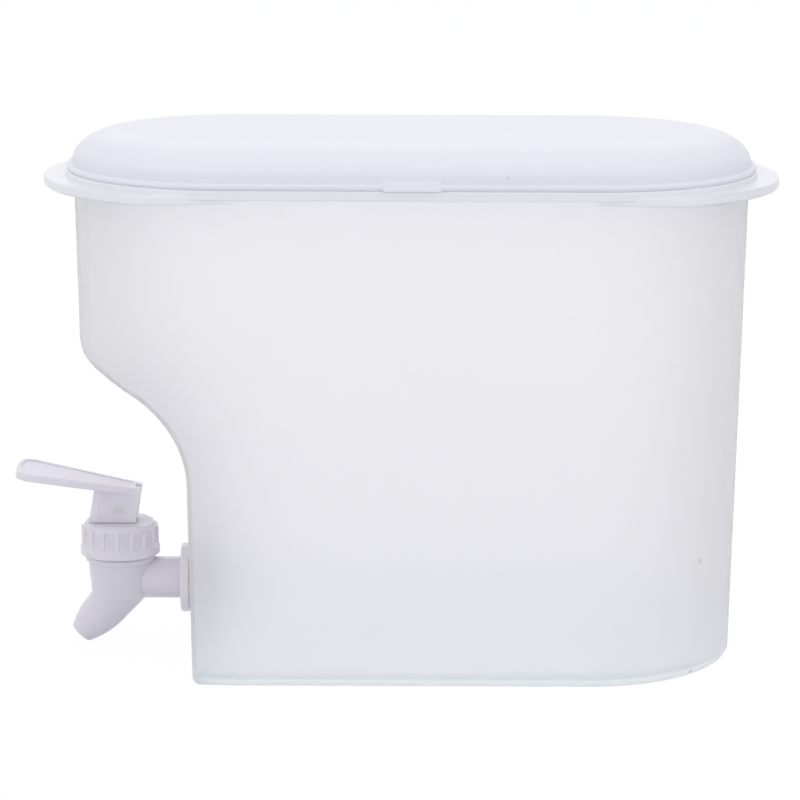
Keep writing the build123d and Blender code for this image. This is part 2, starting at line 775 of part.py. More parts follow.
def stem_slot():
    """Slot up into the heel for the stem, open at the base and at the rear."""
    half_width = stem_radius + lever_slot_side_gap
    front_x = tap_x - stem_radius - lever_slot_front_gap
    roof_z = cross_head_z + 2 * stem_crown + lever_slot_headroom
    rear_x = tap_x + lever_rear_reach + overrun
    slot_align = (Align.MIN, Align.CENTER, Align.MIN)
    slot = Box(rear_x - front_x, 2 * half_width, roof_z - lever_base + overrun, align=slot_align)
    notch_x = tap_x + lever_rear_reach - lever_notch_depth
    notch = Box(lever_notch_depth + overrun, 2 * half_width, lever_rear_height + overrun, align=slot_align)
    return Pos(front_x, 0, lever_base - overrun) * slot + Pos(notch_x, 0, lever_base) * notch


def lever():
    """Paddle with a dished top, on a heel that holds the stem's cross head."""
    plate = extrude(lever_plane() * paddle_outline(0), -lever_plate_thickness)
    rims = plate.edges().group_by(lambda e: round(lever_plane().to_local_coords(e.center()).Z, 2))
    plate = fillet(rims[-1] + rims[0], lever_edge_radius)
    dish = extrude(lever_plane() * paddle_outline(lever_rim), -lever_dish_depth)
    below = lever_plane(lever_dish_depth)
    keep_align = (Align.MAX, Align.CENTER, Align.CENTER)
    keep = Box(lever_tip_reach * 2, lever_tip_half_width * 2, overrun * 2, align=keep_align)
    keep = Pos(lever_rear_reach - lever_notch_depth - lever_rim, 0, 0) * keep
    dish = dish & (below.location * keep)
    solid = plate + lever_heel() - dish - stem_slot() - cross_slot()
    return solid


pieces = {
    "jug_body": jug_body,
    "lid": lid,
    "tap_body": tap_body,
    "outer_gasket": outer_gasket,
    "inner_gasket": inner_gasket,
    "lock_nut": lock_nut,
    "bonnet_cap": bonnet_cap,
    "valve_stem": valve_stem,
    "seat_cup": seat_cup,
    "return_spring": return_spring,
    "lever": lever,
}

for name, make in pieces.items():
    export_step(make(), f"parts/{name}.step")
    print("wrote", name)
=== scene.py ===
from math import cos, pi, radians, sin, tan

import bmesh
import bpy
from bpy.props import FloatProperty, FloatVectorProperty, IntProperty, PointerProperty, StringProperty
from mathutils import Matrix, Vector


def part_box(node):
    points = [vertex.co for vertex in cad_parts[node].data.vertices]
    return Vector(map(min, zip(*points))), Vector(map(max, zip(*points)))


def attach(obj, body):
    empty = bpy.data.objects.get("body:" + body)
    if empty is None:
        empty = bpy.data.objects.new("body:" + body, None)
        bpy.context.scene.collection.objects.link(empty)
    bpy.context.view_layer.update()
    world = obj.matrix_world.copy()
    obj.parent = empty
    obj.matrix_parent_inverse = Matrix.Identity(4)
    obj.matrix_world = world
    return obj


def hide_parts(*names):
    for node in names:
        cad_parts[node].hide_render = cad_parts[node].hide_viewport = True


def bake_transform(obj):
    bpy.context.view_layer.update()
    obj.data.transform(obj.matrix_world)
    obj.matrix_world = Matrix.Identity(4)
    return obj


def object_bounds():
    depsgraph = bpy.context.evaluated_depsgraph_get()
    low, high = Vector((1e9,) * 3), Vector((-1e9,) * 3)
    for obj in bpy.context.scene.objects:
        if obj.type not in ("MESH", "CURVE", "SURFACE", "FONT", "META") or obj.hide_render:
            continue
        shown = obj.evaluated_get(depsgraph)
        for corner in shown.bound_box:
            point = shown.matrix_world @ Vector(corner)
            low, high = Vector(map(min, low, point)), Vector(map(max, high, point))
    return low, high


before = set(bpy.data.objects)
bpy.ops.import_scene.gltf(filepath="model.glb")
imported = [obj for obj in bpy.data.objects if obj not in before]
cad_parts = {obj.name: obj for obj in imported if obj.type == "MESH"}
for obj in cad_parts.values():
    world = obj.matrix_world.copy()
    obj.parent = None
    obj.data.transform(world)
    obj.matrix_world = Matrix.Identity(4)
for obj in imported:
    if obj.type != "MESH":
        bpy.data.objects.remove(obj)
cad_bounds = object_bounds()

bl_info = {
    "name": "Fridge water jug with tap",
    "version": (1, 0, 0),
    "blender": (4, 5, 0),
    "location": "View3D > Sidebar > Water jug",
    "description": "Dresses the packed water jug: plastics, silicone parts, wound spring and studio",
    "category": "Object",
}

MM = 0.001

# Sockets of the Mix node when it mixes colours
MIX_A, MIX_B, MIX_RESULT = 6, 7, 2


# Places and sizes that the frame gives, in metres

def middle(node):
    """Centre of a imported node's box."""
    low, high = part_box(node)
    return (low + high) / 2


TAP_X = middle("bonnet_cap").x
SHANK_Z = middle("lock_nut").z
# Radius of the lid's round ends, and half the length of its straight sides, which the body shares
LID_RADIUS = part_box("lid")[1].y
HALF_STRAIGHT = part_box("lid")[1].x - LID_RADIUS

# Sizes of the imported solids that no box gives: the wall's round ends are measured just under the flange
WALL_RADIUS = 60.1 * MM
FLANGE_TOP_Z = 186.8 * MM
LID_BEAD_FOOT_Z = 187.1 * MM
LID_BEAD_ROUND = 0.8 * MM

# Burnt grains in the mouldings: place and radius in metres, and how strongly each shows
SHELL_SPECKS = (
    ((108.3 * MM, -39.9 * MM, 44.7 * MM), 1.4 * MM, 0.5),
    ((105.9 * MM, -41.3 * MM, 2.1 * MM), 0.8 * MM, 1.0),
)
LID_SPECK = ((34.1 * MM, -60.3 * MM, 191.6 * MM), 0.6 * MM, 0.5)


# Sizes and colours that a user would change

class JugSettings(bpy.types.PropertyGroup):
    """Finish of the milky shell and of the white lid, and the lid's resting lip."""

    shell_colour: StringProperty(
        name="Shell colour", description="Milky polypropylene, as an sRGB hex value", default="#FAFAFC"
    )
    # Painted shade: the walls are blended towards this darker colour on the way down, where less light
    # reaches them
    painted_lower_shade: StringProperty(
        name="Lower wall colour", description="Tint that the walls take on towards the base",
        default="#F4F3F6",
    )
    # Painted shade: the rounded foot is painted this darker, cooler colour, for the light that is lost in
    # the thick base
    painted_foot_shade: StringProperty(
        name="Base colour", description="Cooler tint where the thick base gathers light",
        default="#DDE5EA",
    )
    shell_frost: FloatProperty(
        name="Frost", description="How strongly the shell's plastic spreads the light that crosses it",
        default=0.6, min=0.0, max=1.0, subtype="FACTOR",
    )
    shell_murk: FloatProperty(
        name="Murk", description="How quickly light fades inside the shell's plastic, per metre",
        default=1.2,
    )
    murk_colour: StringProperty(
        name="Murk colour", description="Tint of light that has run far inside the plastic",
        default="#B9BACE",
    )
    flange_start: FloatProperty(
        name="Flange start", description="Height from which the wall looks solid, as the flange does",
        default=183.6 * MM, unit="LENGTH",
    )
    ear_drop: FloatProperty(
        name="Ear drop", description="How much lower the solid look starts outside the wall, at the ears",
        default=2.4 * MM, unit="LENGTH",
    )
    flange_clarity: FloatProperty(
        name="Flange clarity", description="Share of light that still crosses the solid flange",
        default=0.05, min=0.0, max=1.0, subtype="FACTOR",
    )
    flange_gloss: FloatProperty(
        name="Flange gloss", description="Roughness of the flange, lower than the walls' frost",
        default=0.3, min=0.0, max=1.0, subtype="FACTOR",
    )
    lid_colour: StringProperty(
        name="Lid colour", description="White polyethylene, as an sRGB hex value", default="#F7F6FD"
    )
    lip_setback: FloatProperty(
        name="Lip setback", description="How far the lid's lip stands in from the side of the bead",
        default=0.25 * MM, unit="LENGTH", precision=5,
    )
    lip_width: FloatProperty(
        name="Lip width", description="Width of the lip that the lid rests on",
        default=1.4 * MM, unit="LENGTH", precision=5,
    )
    lip_clearance: FloatProperty(
        name="Lip clearance", description="Air left between the lip and the flange",
        default=0.04 * MM, unit="LENGTH", precision=6,
    )
    speck_colour: StringProperty(
        name="Speck colour", description="Burnt specks trapped in the moulding", default="#A8A6AC"
    )
    lid_speck_colour: StringProperty(
        name="Lid speck colour", description="The one speck in the lid, as an sRGB hex value",
        default="#CECBD4",
    )


class TapSettings(bpy.types.PropertyGroup):
    """Finish and soft parts of the tap."""

    tap_colour: StringProperty(
        name="Tap colour", description="White pigmented polypropylene, as an sRGB hex value",
        default="#EAE7ED",
    )
    silicone_colour: StringProperty(
        name="Silicone colour", description="Clear-milky silicone, as an sRGB hex value",
        default="#F6F6F8",
    )
    washer_bulge: FloatProperty(
        name="Washer bulge", description="How far a squeezed washer swells at its rim",
        default=0.35 * MM, unit="LENGTH",
    )
    washer_bore: FloatProperty(
        name="Washer bore", description="Radius of a washer's hole", default=7.75 * MM, unit="LENGTH"
    )
    cup_skin: FloatProperty(
        name="Cup skin", description="Thickness of the seat cup's bellows wall",
        default=0.9 * MM, unit="LENGTH",
    )
    wire_diameter: FloatProperty(
        name="Wire", description="Diameter of the spring's wire", default=0.9 * MM, unit="LENGTH"
    )
    spring_diameter: FloatProperty(
        name="Spring", description="Diameter of the spring at its wire's middle",
        default=8.8 * MM, unit="LENGTH",
    )
    spring_turns: IntProperty(name="Turns", description="Turns of the spring's wire", default=6)
    wire_colour: StringProperty(
        name="Wire colour", description="Drawn stainless wire, as an sRGB hex value", default="#C9C7C2"
    )


class StageSettings(bpy.types.PropertyGroup):
    """Camera, floor and lights."""

    aim: FloatVectorProperty(
        name="Aim", description="Point that the camera looks at", size=3,
        default=(-4.02 * MM, 0, 96.97 * MM), unit="LENGTH",
    )
    distance: FloatProperty(
        name="Distance", description="From the camera to that point", default=1.1418, unit="LENGTH"
    )
    pitch: FloatProperty(
        name="Pitch", description="How steeply the camera looks down", default=0.219, unit="ROTATION"
    )
    roll: FloatProperty(
        name="Roll", description="Tilt of the camera about its own axis", default=0.004, unit="ROTATION"
    )
    lens: FloatProperty(
        name="Lens", description="Focal length on a 36 mm sensor, in millimetres", default=134.2
    )
    ambient: FloatProperty(name="Ambient", description="Brightness of the white room", default=0.81)
    room_colour: StringProperty(
        name="Room colour", description="Colour of the light from the room's walls", default="#F6F6FC"
    )
    sweep_width: FloatProperty(
        name="Paper width", description="Width of the paper", default=12.0, unit="LENGTH"
    )
    sweep_back: FloatProperty(
        name="Paper reach", description="From the jug to the upright paper", default=3.5, unit="LENGTH"
    )
    sweep_height: FloatProperty(
        name="Paper height", description="Height of the upright paper", default=3.0, unit="LENGTH"
    )
    sweep_radius: FloatProperty(
        name="Paper bend", description="Radius of the curve between floor and upright",
        default=1.0, unit="LENGTH",
    )
    floor_colour: StringProperty(
        name="Floor colour", description="Matt paper, as the light that it throws back shows it",
        default="#DCDCE2",
    )


# Colours and nodes

def hex_colour(code):
    """Linear colour with alpha from an sRGB hex value."""
    channels = [int(code[i:i + 2], 16) / 255 for i in (1, 3, 5)]
    return [c / 12.92 if c <= 0.04045 else ((c + 0.055) / 1.055) ** 2.4 for c in channels] + [1.0]


def add_node(tree, kind, inputs=(), **settings):
    """Add a node. Inputs are pairs of a socket's name or number and a value or another socket."""
    node = tree.nodes.new(kind)
    for name, value in settings.items():
        setattr(node, name, value)
    for socket, value in inputs:
        if isinstance(value, bpy.types.NodeSocket):
            tree.links.new(value, node.inputs[socket])
        else:
            node.inputs[socket].default_value = value
    return node


def new_material(name):
    """An empty node material, its tree, and the place on the object in metres."""
    material = bpy.data.materials.new(name)
    material.use_nodes = True
    tree = material.node_tree
    tree.nodes.clear()
    return material, tree, add_node(tree, "ShaderNodeTexCoord").outputs["Object"]


def finish_material(tree, shader, bump=None):
    """Join the shader to the output, with its bump where there is one."""
    if bump is not None:
        tree.links.new(bump.outputs["Normal"], shader.inputs["Normal"])
    return add_node(tree, "ShaderNodeOutputMaterial", [("Surface", shader.outputs[0])])


def moulded_relief(tree, place, waves, wave_height, grain, grain_height):
    """Bump of a moulded surface: slow sink waves of one size, and the tool's fine grain of another."""
    # Real grain is under 0.1 mm and would not show, so the materials ask for a coarser one
    slow = add_node(
        tree, "ShaderNodeTexNoise", [("Vector", place), ("Scale", 1 / waves), ("Detail", 1.5)]
    )
    fine = add_node(
        tree, "ShaderNodeTexNoise", [("Vector", place), ("Scale", 1 / grain), ("Detail", 2.0)]
    )
    sink = add_node(
        tree, "ShaderNodeBump",
        [("Height", slow.outputs["Fac"]), ("Distance", wave_height), ("Strength", 1.0)],
    )
    return add_node(
        tree, "ShaderNodeBump",
        [("Height", fine.outputs["Fac"]), ("Distance", grain_height), ("Strength", 1.0),
         ("Normal", sink.outputs["Normal"])],
    )


def clouded(tree, place, colour, size, darkest):
    """Colour that drifts a little darker and back over a given distance, as in any moulding."""
    dark = [c * darkest for c in colour[:3]] + [1.0]
    noise = add_node(
        tree, "ShaderNodeTexNoise", [("Vector", place), ("Scale", 1 / size), ("Detail", 3.0)]
    )
    mix = add_node(
        tree, "ShaderNodeMix", [("Factor", noise.outputs["Fac"]), (MIX_A, dark), (MIX_B, colour)],
        data_type="RGBA",
    )
    return mix.outputs[MIX_RESULT]


def speck(tree, place, colour, dark, spot, radius, strength):
    """Darken a small round grain at one spot of a moulding, with a soft rim."""
    core, rim = radius * 0.2, radius * 1.5
    away = add_node(tree, "ShaderNodeVectorMath", [(0, place), (1, spot)], operation="DISTANCE")
    grain = add_node(
        tree, "ShaderNodeMapRange",
        [("Value", away.outputs["Value"]), ("From Min", core), ("From Max", rim),
         ("To Min", strength), ("To Max", 0.0)],
        interpolation_type="SMOOTHSTEP",
    )
    mix = add_node(
        tree, "ShaderNodeMix", [("Factor", grain.outputs["Result"]), (MIX_A, colour), (MIX_B, dark)],
        data_type="RGBA",
    )
    return mix.outputs[MIX_RESULT]


# Materials

def milky_polypropylene_moulded(look):
    """Unpigmented polypropylene, injection-moulded: light wanders in it, so its walls glow softly."""
    material, tree, place = new_material("polypropylene_milky_moulded")
    wall = clouded(tree, place, hex_colour(look.shell_colour), size=60 * MM, darkest=0.985)
    # Painted shade: the walls are painted a little darker on the way down, and the rounded foot darker
    # and cooler still, where less light comes through
    shade_top, shade_share = 170 * MM, 0.6
    foot_full, foot_gone = 1 * MM, 7 * MM
    axes = add_node(tree, "ShaderNodeSeparateXYZ", [("Vector", place)])
    height = axes.outputs["Z"]
    # Painted shade: how far the wall is darkened towards the lower colour, most at the base and none
    # above the top height
    lower = add_node(
        tree, "ShaderNodeMapRange",
        [("Value", height), ("From Min", 0.0), ("From Max", shade_top),
         ("To Min", shade_share), ("To Max", 0.0)],
    )
    # Painted shade: mask of the rounded foot, which is painted darker and cooler
    foot = add_node(
        tree, "ShaderNodeMapRange",
        [("Value", height), ("From Min", foot_full), ("From Max", foot_gone),
         ("To Min", 1.0), ("To Max", 0.0)],
        interpolation_type="SMOOTHSTEP",
    )
    shaded_lower_wall = add_node(
        tree, "ShaderNodeMix",
        [("Factor", lower.outputs["Result"]), (MIX_A, wall), (MIX_B, hex_colour(look.painted_lower_shade))],
        data_type="RGBA",
    )
    shaded_wall = add_node(
        tree, "ShaderNodeMix",
        [("Factor", foot.outputs["Result"]), (MIX_A, shaded_lower_wall.outputs[MIX_RESULT]),
         (MIX_B, hex_colour(look.painted_foot_shade))],
        data_type="RGBA",
    )
    colour = shaded_wall.outputs[MIX_RESULT]
    for grain in SHELL_SPECKS:
        colour = speck(tree, place, colour, hex_colour(look.speck_colour), *grain)
    # The flange and ears are thick: they throw back most of the light, and are glossier than the walls.
    # They lie outside the wall, so the reach is measured out from the long oval's middle line.
    wall_fade, height_fade = 0.6 * MM, 0.3 * MM
    along = add_node(tree, "ShaderNodeMath", [(0, axes.outputs["X"])], operation="ABSOLUTE")
    past = add_node(
        tree, "ShaderNodeMath", [(0, along.outputs[0]), (1, HALF_STRAIGHT)], operation="SUBTRACT"
    )
    round_end = add_node(tree, "ShaderNodeMath", [(0, past.outputs[0]), (1, 0.0)], operation="MAXIMUM")
    spoke = add_node(
        tree, "ShaderNodeCombineXYZ", [("X", round_end.outputs[0]), ("Y", axes.outputs["Y"])]
    )
    reach = add_node(tree, "ShaderNodeVectorMath", [(0, spoke.outputs["Vector"])], operation="LENGTH")
    outside = add_node(
        tree, "ShaderNodeMapRange",
        [("Value", reach.outputs["Value"]), ("From Min", WALL_RADIUS),
         ("From Max", WALL_RADIUS + wall_fade), ("To Min", 0.0), ("To Max", look.ear_drop)],
    )
    lifted = add_node(
        tree, "ShaderNodeMath", [(0, height), (1, outside.outputs["Result"])], operation="ADD"
    )
    solid = add_node(
        tree, "ShaderNodeMapRange",
        [("Value", lifted.outputs[0]), ("From Min", look.flange_start - height_fade),
         ("From Max", look.flange_start + height_fade)],
        interpolation_type="SMOOTHSTEP",
    )
    clarity = add_node(
        tree, "ShaderNodeMapRange",
        [("Value", solid.outputs["Result"]), ("To Min", 1.0), ("To Max", look.flange_clarity)],
    )
    frost = add_node(
        tree, "ShaderNodeMapRange",
        [("Value", solid.outputs["Result"]), ("To Min", look.shell_frost), ("To Max", look.flange_gloss)],
    )
    shader = add_node(
        tree, "ShaderNodeBsdfPrincipled",
        [("Base Color", colour), ("Roughness", frost.outputs["Result"]), ("IOR", 1.38),
         ("Transmission Weight", clarity.outputs["Result"])],
    )
    # Light that grazes a wall runs far inside it and comes out dimmer, so the jug's ends look darker
    murk = add_node(
        tree, "ShaderNodeVolumeAbsorption",
        [("Color", hex_colour(look.murk_colour)), ("Density", look.shell_murk)],
    )
    relief = moulded_relief(
        tree, place, waves=70 * MM, wave_height=0.12 * MM, grain=1.2 * MM, grain_height=0.004 * MM
    )
    out = finish_material(tree, shader, relief)
    tree.links.new(murk.outputs["Volume"], out.inputs["Volume"])
    return material


def white_polyethylene_moulded(look):
    """White polyethylene, injection-moulded: soft satin highlights and a trace of glow at thin edges."""
    material, tree, place = new_material("polyethylene_white_moulded")
    colour = clouded(tree, place, hex_colour(look.lid_colour), size=45 * MM, darkest=0.985)
    colour = speck(tree, place, colour, hex_colour(look.lid_speck_colour), *LID_SPECK)
    shader = add_node(
        tree, "ShaderNodeBsdfPrincipled",
        [("Base Color", colour), ("Roughness", 0.48), ("IOR", 1.51), ("Subsurface Weight", 0.35),
         ("Subsurface Radius", (1.0, 0.95, 1.0)), ("Subsurface Scale", 2.5 * MM)],
        subsurface_method="RANDOM_WALK",
    )
    relief = moulded_relief(
        tree, place, waves=50 * MM, wave_height=0.15 * MM, grain=0.9 * MM, grain_height=0.004 * MM
    )
    finish_material(tree, shader, relief)
    return material


def white_polypropylene_moulded(look):
    """White polypropylene, injection-moulded in a polished tool: harder, glossier highlights."""
    material, tree, place = new_material("polypropylene_white_moulded")
    colour = clouded(tree, place, hex_colour(look.tap_colour), size=12 * MM, darkest=0.975)
    shader = add_node(
        tree, "ShaderNodeBsdfPrincipled",
        [("Base Color", colour), ("Roughness", 0.27), ("IOR", 1.49), ("Subsurface Weight", 0.7),
         ("Subsurface Radius", (1.0, 0.95, 1.05)), ("Subsurface Scale", 3 * MM)],
        subsurface_method="RANDOM_WALK",
    )
    relief = moulded_relief(
        tree, place, waves=9 * MM, wave_height=0.05 * MM, grain=0.6 * MM, grain_height=0.003 * MM
    )
    finish_material(tree, shader, relief)
    return material


def silicone_moulded(look):
    """Milky silicone, compression-moulded: matt and slightly dusty, with a glow at its rims."""
    material, tree, place = new_material("silicone_milky_moulded")
    colour = clouded(tree, place, hex_colour(look.silicone_colour), size=6 * MM, darkest=0.96)
    shader = add_node(
        tree, "ShaderNodeBsdfPrincipled",
        [("Base Color", colour), ("Roughness", 0.55), ("IOR", 1.41), ("Subsurface Weight", 0.6),
         ("Subsurface Radius", (1.0, 1.0, 1.0)), ("Subsurface Scale", 2 * MM)],
        subsurface_method="RANDOM_WALK",
    )
    relief = moulded_relief(
        tree, place, waves=5 * MM, wave_height=0.04 * MM, grain=0.4 * MM, grain_height=0.006 * MM
    )
    finish_material(tree, shader, relief)
    return material


def stainless_wire_drawn(look):
    """Stainless steel wire, cold-drawn: a bright metal with fine die lines along it."""
    material, tree, place = new_material("stainless_steel_drawn")
    # The wire runs level round the stem, so its die lines are long in X and Y and 0.1 mm apart in Z.
    # Real ones are finer still and would not show.
    squeezed = add_node(tree, "ShaderNodeMapping", [("Vector", place), ("Scale", (0.2, 0.2, 6.0))])
    lines = add_node(
        tree, "ShaderNodeTexNoise",
        [("Vector", squeezed.outputs["Vector"]), ("Scale", 1 / (0.6 * MM)), ("Detail", 2.0)],
    )
    rough = add_node(
        tree, "ShaderNodeMapRange",
        [("Value", lines.outputs["Fac"]), ("To Min", 0.22), ("To Max", 0.38)],
    )
    bump = add_node(
        tree, "ShaderNodeBump",
        [("Height", lines.outputs["Fac"]), ("Distance", 0.01 * MM), ("Strength", 0.6)],
    )
    shader = add_node(
        tree, "ShaderNodeBsdfPrincipled",
        [("Base Color", hex_colour(look.wire_colour)), ("Metallic", 1.0),
         ("Roughness", rough.outputs["Result"])],
    )
    finish_material(tree, shader, bump)
    return material


def white_paper_sweep(look):
    """Matt white paper on the studio's floor: the camera sees it as white, with a soft shadow."""
    material, tree, place = new_material("paper_white_matt")
    # Clumps of fibres about 2 mm across, coarser than real ones so that they would show up close
    fibres = add_node(
        tree, "ShaderNodeTexNoise", [("Vector", place), ("Scale", 1 / (2 * MM)), ("Detail", 3.0)]
    )
    bump = add_node(
        tree, "ShaderNodeBump",
        [("Height", fibres.outputs["Fac"]), ("Distance", 0.02 * MM), ("Strength", 0.3)],
    )
    paper = add_node(
        tree, "ShaderNodeBsdfPrincipled",
        [("Base Color", hex_colour(look.floor_colour)), ("Roughness", 0.9), ("Specular IOR Level", 0.1),
         ("Normal", bump.outputs["Normal"])],
    )
    # What the camera sees is mostly a plain white glow, with a little of the lit paper and its shadow
    glow_strength, glow_share = 1.05, 0.9
    glow = add_node(tree, "ShaderNodeEmission", [("Color", (1, 1, 1, 1)), ("Strength", glow_strength)])
    path = add_node(tree, "ShaderNodeLightPath")
    indirect = add_node(
        tree, "ShaderNodeMath",
        [(0, path.outputs["Is Glossy Ray"]), (1, path.outputs["Is Transmission Ray"])],
        operation="MAXIMUM",
    )
    seen = add_node(
        tree, "ShaderNodeMath",
        [(0, indirect.outputs[0]), (1, path.outputs["Is Camera Ray"])], operation="MAXIMUM",
    )
    share = add_node(
        tree, "ShaderNodeMath", [(0, seen.outputs[0]), (1, glow_share)], operation="MULTIPLY"
    )
    mix = add_node(
        tree, "ShaderNodeMixShader",
        [(0, share.outputs[0]), (1, paper.outputs[0]), (2, glow.outputs[0])],
    )
    finish_material(tree, mix)
    return material


# Meshes

def dress(node, material):
    """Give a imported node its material, on every slot that it has."""
    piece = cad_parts[node]
    piece.data.materials.clear()
    piece.data.materials.append(material)


def piece_from(body, name):
    """Object in the scene from a mesh that was built up point by point."""
    mesh = bpy.data.meshes.new(name)
    body.to_mesh(mesh)
    body.free()
    piece = bpy.data.objects.new(name, mesh)
    bpy.context.scene.collection.objects.link(piece)
    return piece


def ring_mesh(name, section, steps, place):
    """Closed ring from a section, a list of pairs, with each point put in space by place(pair, angle)."""
    body = bmesh.new()
    rows = []
    for step in range(steps):
        angle = 2 * pi * step / steps
        rows.append([body.verts.new(place(pair, angle)) for pair in section])
    for row, after in zip(rows, rows[1:] + rows[:1]):
        for i in range(len(section)):
            j = (i + 1) % len(section)
            body.faces.new((row[i], row[j], after[j], after[i]))
    # Points of the section that lie on the axis come together there
    bmesh.ops.remove_doubles(body, verts=body.verts, dist=0.001 * MM)
    bmesh.ops.recalc_face_normals(body, faces=body.faces)
    for face in body.faces:
        face.smooth = True
    piece = piece_from(body, name)
    piece.data.set_sharp_from_angle(angle=radians(40))
    return piece


def washer(name, node, wall_side, draft, bulge, inner_radius):
    """Squeezed washer that takes up a packed washer's wedge, with a swollen rim and soft corners."""
    low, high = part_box(node)
    outer = (high.z - low.z) / 2 - bulge
    lean = tan(draft)
    if wall_side == "high":
        flat_x = low.x
        wedge_x = high.x - (outer + bulge) * lean
    else:
        flat_x = high.x
        wedge_x = low.x + (outer + bulge) * lean
    # Soft corners: across the washer as a share of its thickness, along its faces in metres
    corner = 0.02
    soft = (outer - inner_radius) * 0.12
    section = [
        (corner, inner_radius), (0.5, inner_radius), (1 - corner, inner_radius),
        (1.0, inner_radius + soft), (1.0, outer - soft),
    ]
    arc_steps = 8
    for step in range(arc_steps + 1):
        share = step / arc_steps
        section.append((1 - corner - (1 - 2 * corner) * share, outer + bulge * sin(pi * share)))
    section += [(0.0, outer - soft), (0.0, inner_radius + soft)]

    def place(pair, angle):
        across, radius = pair
        z = SHANK_Z + radius * cos(angle)
        wall = wedge_x - (z - SHANK_Z) * lean
        return (flat_x + (wall - flat_x) * across, radius * sin(angle), z)

    return ring_mesh(name, section, steps=96, place=place)


def lid_lip(setback, width, clearance):
    """Thin lip under the lid's bead that follows its long oval and stands just clear of the flange."""
    outer = LID_RADIUS - setback
    inner = outer - width
    foot = FLANGE_TOP_Z + clearance
    corner = 0.1 * MM
    # The lip's root lies inside the bead's rounded lower edge
    root = LID_BEAD_FOOT_Z + LID_BEAD_ROUND / 2
    section = [
        (inner, foot), (outer - corner, foot), (outer, foot + corner), (outer, root), (inner, root),
    ]

    def place(pair, angle):
        radius, z = pair
        end = HALF_STRAIGHT if cos(angle) > 0 else -HALF_STRAIGHT
        return (end + radius * cos(angle), radius * sin(angle), z)

    # Two steps lie evenly about each straight side, so the count isn't a multiple of four
    return ring_mesh("lid_lip", section, steps=190, place=place)


# Operators, one for each piece or group of like pieces

class JUG_OT_shell(bpy.types.Operator):
    """Give the jug's shell its milky plastic"""

    bl_idname = "jug.shell"
    bl_label = "Milky shell"

    def execute(self, context):
        dress("jug_body", milky_polypropylene_moulded(context.scene.jug_look))
        return {"FINISHED"}


class JUG_OT_lid(bpy.types.Operator):
    """Give the lid, and the nut inside the jug, their white plastic, and the lid its resting lip"""

    bl_idname = "jug.lid"
    bl_label = "White lid and nut"

    def execute(self, context):
        look = context.scene.jug_look
        white = white_polyethylene_moulded(look)
        dress("lid", white)
        dress("lock_nut", white)
        lip = lid_lip(look.lip_setback, look.lip_width, look.lip_clearance)
        lip.data.materials.append(white)
        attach(lip, "lid")
        return {"FINISHED"}


class JUG_OT_tap(bpy.types.Operator):
    """Give the tap's rigid mouldings their white plastic"""

    bl_idname = "jug.tap"
    bl_label = "Tap mouldings"

    def execute(self, context):
        plastic = white_polypropylene_moulded(context.scene.tap_look)
        for node in ("tap_body", "bonnet_cap", "lever", "valve_stem"):
            dress(node, plastic)
        return {"FINISHED"}


class JUG_OT_washers(bpy.types.Operator):
    """Make the two squeezed silicone washers on the tap's tail"""

    bl_idname = "jug.washers"
    bl_label = "Silicone washers"

    def execute(self, context):
        look = context.scene.tap_look
        silicone = silicone_moulded(look)
        for node, side in (("outer_gasket", "high"), ("inner_gasket", "low")):
            piece = washer(
                "squeezed_" + node, node, wall_side=side, draft=radians(1), bulge=look.washer_bulge,
                inner_radius=look.washer_bore,
            )
            piece.data.materials.append(silicone)
            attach(piece, "root")
            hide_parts(node)
        return {"FINISHED"}


class JUG_OT_seat_cup(bpy.types.Operator):
    """Make the silicone cup, with bellows in its wall, that closes the outlet"""

    bl_idname = "jug.seat_cup"
    bl_label = "Seat cup"

    def execute(self, context):
        look = context.scene.tap_look
        low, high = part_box("seat_cup")
        # Half section, as pairs of radius and height above the cup's foot, all in millimetres
        skin = look.cup_skin / MM
        plug, tip = (7.3, 5), (3.73, 0)
        bellows = [(7.7, 11), (8.2, 17)]
        brim, brim_foot, brim_top, brim_round = (high.x - low.x) / 2 / MM, 27, 28, 0.2
        mouth = 8.8
        # The pocket that holds the stem's foot, under a narrower neck
        pocket, pocket_floor, pocket_roof = 3.05, 2.05, 3.75
        neck, neck_top = 1.75, 4.95
        outside = [
            (0, 0), tip, (plug[0], 3.57), plug, *bellows, (mouth, brim_foot),
            (brim - brim_round, brim_foot), (brim, brim_foot + brim_round),
            (brim, brim_top - brim_round), (brim - brim_round, brim_top),
        ]
        inside = [
            (mouth - skin, brim_top), *((radius - skin, height) for radius, height in reversed(bellows)),
            (plug[0] - skin, neck_top), (neck, neck_top), (neck, pocket_roof), (pocket, pocket_roof),
            (pocket, pocket_floor), (0, pocket_floor),
        ]

        def place(pair, angle):
            radius, height = pair
            return (TAP_X + radius * MM * cos(angle), radius * MM * sin(angle), low.z + height * MM)

        piece = ring_mesh("silicone_seat_cup", outside + inside, steps=72, place=place)
        piece.data.materials.append(silicone_moulded(look))
        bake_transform(piece)
        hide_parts("seat_cup")
        return {"FINISHED"}


